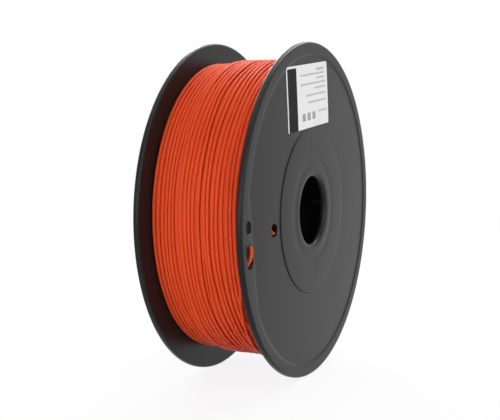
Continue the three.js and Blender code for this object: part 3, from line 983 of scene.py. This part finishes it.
def label_sheet(columns=72, rows=46):
    """A closed sheet with round corners, on the flange's face."""
    width, height = LABEL_SIZE
    centre = Vector((math.cos(LABEL_PLACE[1]), math.sin(LABEL_PLACE[1]))) * LABEL_PLACE[0]
    turn = Matrix.Rotation(LABEL_TILT, 2)
    top, bottom = [], []
    for j in range(rows + 1):
        y = -height / 2 * math.cos(math.pi * j / rows)
        over = max(0.0, abs(y) - (height / 2 - LABEL_CORNER))
        reach = width / 2 - LABEL_CORNER + math.sqrt(max(0.0, LABEL_CORNER**2 - over**2))
        for i in range(columns + 1):
            spot = centre + turn @ Vector((reach * (2 * i / columns - 1), y))
            low = face_height(spot.length, math.atan2(spot.y, spot.x)) + GLUE
            bottom.append((spot.x, spot.y, low))
            top.append((spot.x, spot.y, low + PAPER))
    wide = columns + 1
    size = len(top)
    faces = []
    for j in range(rows):
        for i in range(columns):
            a = j * wide + i
            faces.append((a, a + 1, a + 1 + wide, a + wide))
            faces.append((size + a, size + a + wide, size + a + 1 + wide, size + a + 1))
    edge = [*range(wide), *(wide * (j + 1) - 1 for j in range(1, rows + 1))]
    edge += [rows * wide + i for i in range(columns - 1, -1, -1)]
    edge += [j * wide for j in range(rows - 1, 0, -1)]
    for a, b in zip(edge, edge[1:] + edge[:1]):
        faces.append((a, size + a, size + b, b))
    return new_piece("paper_label", top + bottom, faces)


label = label_sheet()
face_outwards(label)
place(label, half_frame("front"))
smooth(label, limit=40)
print("label faces:", len(label.data.polygons))

# %% [markdown]
# The label's print is a pattern on the label's own axes. A Mapping node moves the frame's coordinates
# to the label's middle and turns them with it. Each bar is a mask that is 1 inside a box and falls
# off over the printed edge's width.

# %% Material: printed label
paper, shader, wire = new_material("coated label paper")
where = wire.node("ShaderNodeTexCoord", output="Object")
middle_clock = LABEL_PLACE[1] + ROLL
label_middle = (
    LABEL_PLACE[0] * math.cos(middle_clock) * MM,
    0,
    LABEL_PLACE[0] * math.sin(middle_clock) * MM,
)
on_label = wire.node(
    "ShaderNodeMapping",
    {"vector_type": "TEXTURE"},
    {
        "Vector": where,
        "Location": label_middle,
        "Rotation": (0, -(ROLL + LABEL_TILT), 0),
        "Scale": (MM, MM, MM),
    },
)
across = wire.node("ShaderNodeSeparateXYZ", inputs={0: on_label})
up = across.other(2)


def printed_box(x0, x1, y0, y1, edge=0.25):
    """A mask that is 1 in a box of the label, in mm from its middle."""
    in_x = (((x1 - x0) / 2 - abs(across - (x0 + x1) / 2)) / edge + 0.5).clamped()
    in_y = (((y1 - y0) / 2 - abs(up - (y0 + y1) / 2)) / edge + 0.5).clamped()
    return in_x * in_y


LEFT, TOP = -LABEL_SIZE[0] / 2, LABEL_SIZE[1] / 2
STRIP_WIDTH, BORDER = 13.2, 1.3
PAST_EDGE = 5  # the strip runs off the label's lower edge
WHITE_LEFT = LEFT + BORDER + STRIP_WIDTH
WHITE_WIDTH = LABEL_SIZE[0] / 2 - WHITE_LEFT
BARS = [  # start and end as shares of the white part's width, share of the height, and mm tall
    (0.63, 0.90, 0.100, 1.5),
    (0.13, 0.91, 0.165, 1.1),
    (0.63, 0.91, 0.235, 1.1),
    (0.11, 0.92, 0.310, 1.1),
    (0.55, 0.92, 0.390, 1.1),
    (0.27, 0.92, 0.490, 1.1),
    (0.33, 0.92, 0.600, 1.1),
    (0.66, 0.95, 0.770, 1.1),
]
BLOCKS = [(0.14 + 0.16 * k, 0.24 + 0.16 * k) for k in range(3)]  # shares of the white part's width
BLOCK_TOP, BLOCK_BOTTOM = 0.76, 0.88  # shares of the height from the top
BAR_INK, BLOCK_INK = 0.55, 0.75  # how much of the ink's grey they take
PAPER_WHITE, INK_GREY, INK_DARK = colour_of(232, 232, 232), colour_of(120, 120, 122), colour_of(16, 16, 17)


def white_x(share):
    """The place across at a share of the white part's width."""
    return WHITE_LEFT + share * WHITE_WIDTH


def from_top(share):
    """The place up at a share of the label's height, from its top."""
    return TOP - share * LABEL_SIZE[1]


print_mask = 0.0
for x0, x1, y, tall in BARS:
    bar = printed_box(white_x(x0), white_x(x1), from_top(y) - tall / 2, from_top(y) + tall / 2)
    print_mask = bar + print_mask
blocks = 0.0
for x0, x1 in BLOCKS:
    blocks = printed_box(white_x(x0), white_x(x1), from_top(BLOCK_BOTTOM), from_top(BLOCK_TOP)) + blocks
strip = printed_box(LEFT + BORDER, WHITE_LEFT, -TOP - PAST_EDGE, TOP - BORDER)
speckle = wire.node("ShaderNodeTexNoise", inputs={"Vector": where, "Scale": 1500, "Detail": 2})
inked = (BAR_INK * print_mask * (0.6 + 0.6 * speckle) + BLOCK_INK * blocks).clamped()
colour = blended(wire, strip, blended(wire, inked, PAPER_WHITE, INK_GREY), INK_DARK)
coated = 0.5 + 0.3 * strip + 0.08 * speckle
finish_surface(wire, shader, colour, coated, speckle, strength=0.15, mirror=0.22)
painted(label, paper)
print("label nodes:", len(wire.tree.nodes))

# %% [markdown]
# ## Riding on the frame
# Every piece rides on the spool's one body and stands for its CAD part, which is hidden. The table's
# last column is the finish's name in the imported record, which nothing here uses.

# %% Ride and replace
STANDS_FOR = [
    (flanges["front"], "front_flange", "spool_plastic"),
    (flanges["rear"], "rear_flange", "spool_plastic"),
    (cores["front"], "front_core_half", "spool_plastic"),
    (cores["rear"], "rear_core_half", "spool_plastic"),
    (inner_turns, "filament_inner_layers", "filament_plastic"),
    (under_turns, "filament_inner_layers", "filament_plastic"),
    (outer_turns, "filament_outer_layer", "filament_plastic"),
    (free_end, "filament_outer_layer", "filament_plastic"),
    (start_end, "filament_start_end", "filament_plastic"),
    (label, "label", "label_paper"),
]
for piece, node, slot in STANDS_FOR:
    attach(piece, "root")
    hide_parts(node)
    print(piece.name, "stands for", node)

# %% [markdown]
# ## Floor and light
# The photograph is cut out on white. The floor is pale and keeps a soft shadow, and what the camera
# sees of the floor and the world is nearly plain white, directly and in reflections, whatever the
# lamps do. That white gives the black faces their broad sheen. The floor fades into it with the
# distance, so that no horizon shows.

# %% Floor
FLOOR_WHITE = 0.88  # the share of plain white in what the camera sees of the floor, by the object
FADE_STARTS, FADE_ENDS = 0.2, 0.9  # metres from the object, where that share grows to all of it
FLOOR_HALF, FLOOR_LEVEL = 3.0, -0.1


def seen_white(wire):
    """1 where the camera sees the background, directly or in a reflection, and 0 for all other light."""
    path = wire.node("ShaderNodeLightPath")
    return (path + path.other("Is Glossy Ray") + path.other("Is Transmission Ray")).clamped()


floor_paint, shader, wire = new_material("pale floor")
shader.inputs["Base Color"].default_value = (0.9, 0.9, 0.9, 1)
shader.inputs["Roughness"].default_value = 0.9
bright = wire.node("ShaderNodeEmission", inputs={"Color": (1, 1, 1, 1), "Strength": 1.0})
where = wire.node("ShaderNodeTexCoord", output="Object")
away = wire.node("ShaderNodeVectorMath", {"operation": "LENGTH"}, {0: where}, output=1)
fade = wire.node(
    "ShaderNodeMapRange",
    {"interpolation_type": "SMOOTHSTEP"},
    {"Value": away, "From Min": FADE_STARTS, "From Max": FADE_ENDS, "To Min": FLOOR_WHITE, "To Max": 1},
)
mixed = wire.node(
    "ShaderNodeMixShader",
    inputs={0: fade * seen_white(wire), 1: Wire(wire.tree, shader.outputs[0]), 2: bright},
)
output = wire.tree.nodes["Material Output"]
wire.tree.links.new(mixed.socket, output.inputs["Surface"])
corners = [(x * FLOOR_HALF, y * FLOOR_HALF, FLOOR_LEVEL) for x, y in ((-1, -1), (1, -1), (1, 1), (-1, 1))]
floor = new_piece("floor", corners, [(0, 1, 2, 3)])
painted(floor, floor_paint)
print("floor is", 2 * FLOOR_HALF, "m wide")

# %% World
STUDIO_LIGHT = 0.02  # the little light that comes from all sides
world = bpy.data.worlds.new("studio")
bpy.context.scene.world = world
world.use_nodes = True
wire = Wire(world.node_tree)
world.node_tree.nodes.clear()
studio = wire.node("ShaderNodeBackground", inputs={"Color": (1, 1, 1, 1), "Strength": STUDIO_LIGHT})
white = wire.node("ShaderNodeBackground", inputs={"Color": (1, 1, 1, 1), "Strength": 1.0})
mixed = wire.node("ShaderNodeMixShader", inputs={0: seen_white(wire), 1: studio, 2: white})
wire.node("ShaderNodeOutputWorld", inputs={"Surface": mixed})
print("world nodes:", len(world.node_tree.nodes))

# %% [markdown]
# The lamps are wide, so that no edge is hard. The strongest stand over the spool, to its right and
# behind it, where they light the winding's top and throw the shadow towards the camera's side. Three
# weaker ones in front and at the left lift the face and the winding. Two small ones give the edges
# their thin lines of light.


# %% Lamps
def soft_lamp(name, place_at, width, height, power):
    """A rectangle of light that points at the spool's middle."""
    lamp = bpy.data.objects.new(name, bpy.data.lights.new(name, "AREA"))
    lamp.data.shape, lamp.data.size, lamp.data.size_y = "RECTANGLE", width, height
    lamp.data.energy = power
    bpy.context.scene.collection.objects.link(lamp)
    lamp.location = place_at
    lamp.rotation_mode = "QUATERNION"
    lamp.rotation_quaternion = (Vector() - Vector(place_at)).to_track_quat("-Z", "Y")


LAMPS = [  # name, place, width and height in metres, power in watts
    ("lamp_over", (-0.1, 0, 1.3), 1.6, 1.6, 8),
    ("lamp_over_right", (0.8, -0.1, 1.0), 0.9, 0.9, 11),
    ("lamp_back_right", (1.0, 1.1, 0.6), 0.9, 0.8, 17),
    ("lamp_front", (0, -1.5, 0.3), 1.0, 0.9, 3.5),
    ("lamp_left_front", (-1.0, -1.1, 0.8), 0.8, 0.8, 6.5),
    ("lamp_left", (-1.5, 0, 0.3), 0.8, 0.8, 7),
    ("lamp_edge", (-1.45, 0.39, 0.05), 0.3, 0.5, 2),
    ("lamp_face", (-0.3, -1.4, 0.05), 0.3, 0.3, 2),
]
for lamp in LAMPS:
    soft_lamp(*lamp)
bpy.context.scene.view_settings.view_transform = "Standard"
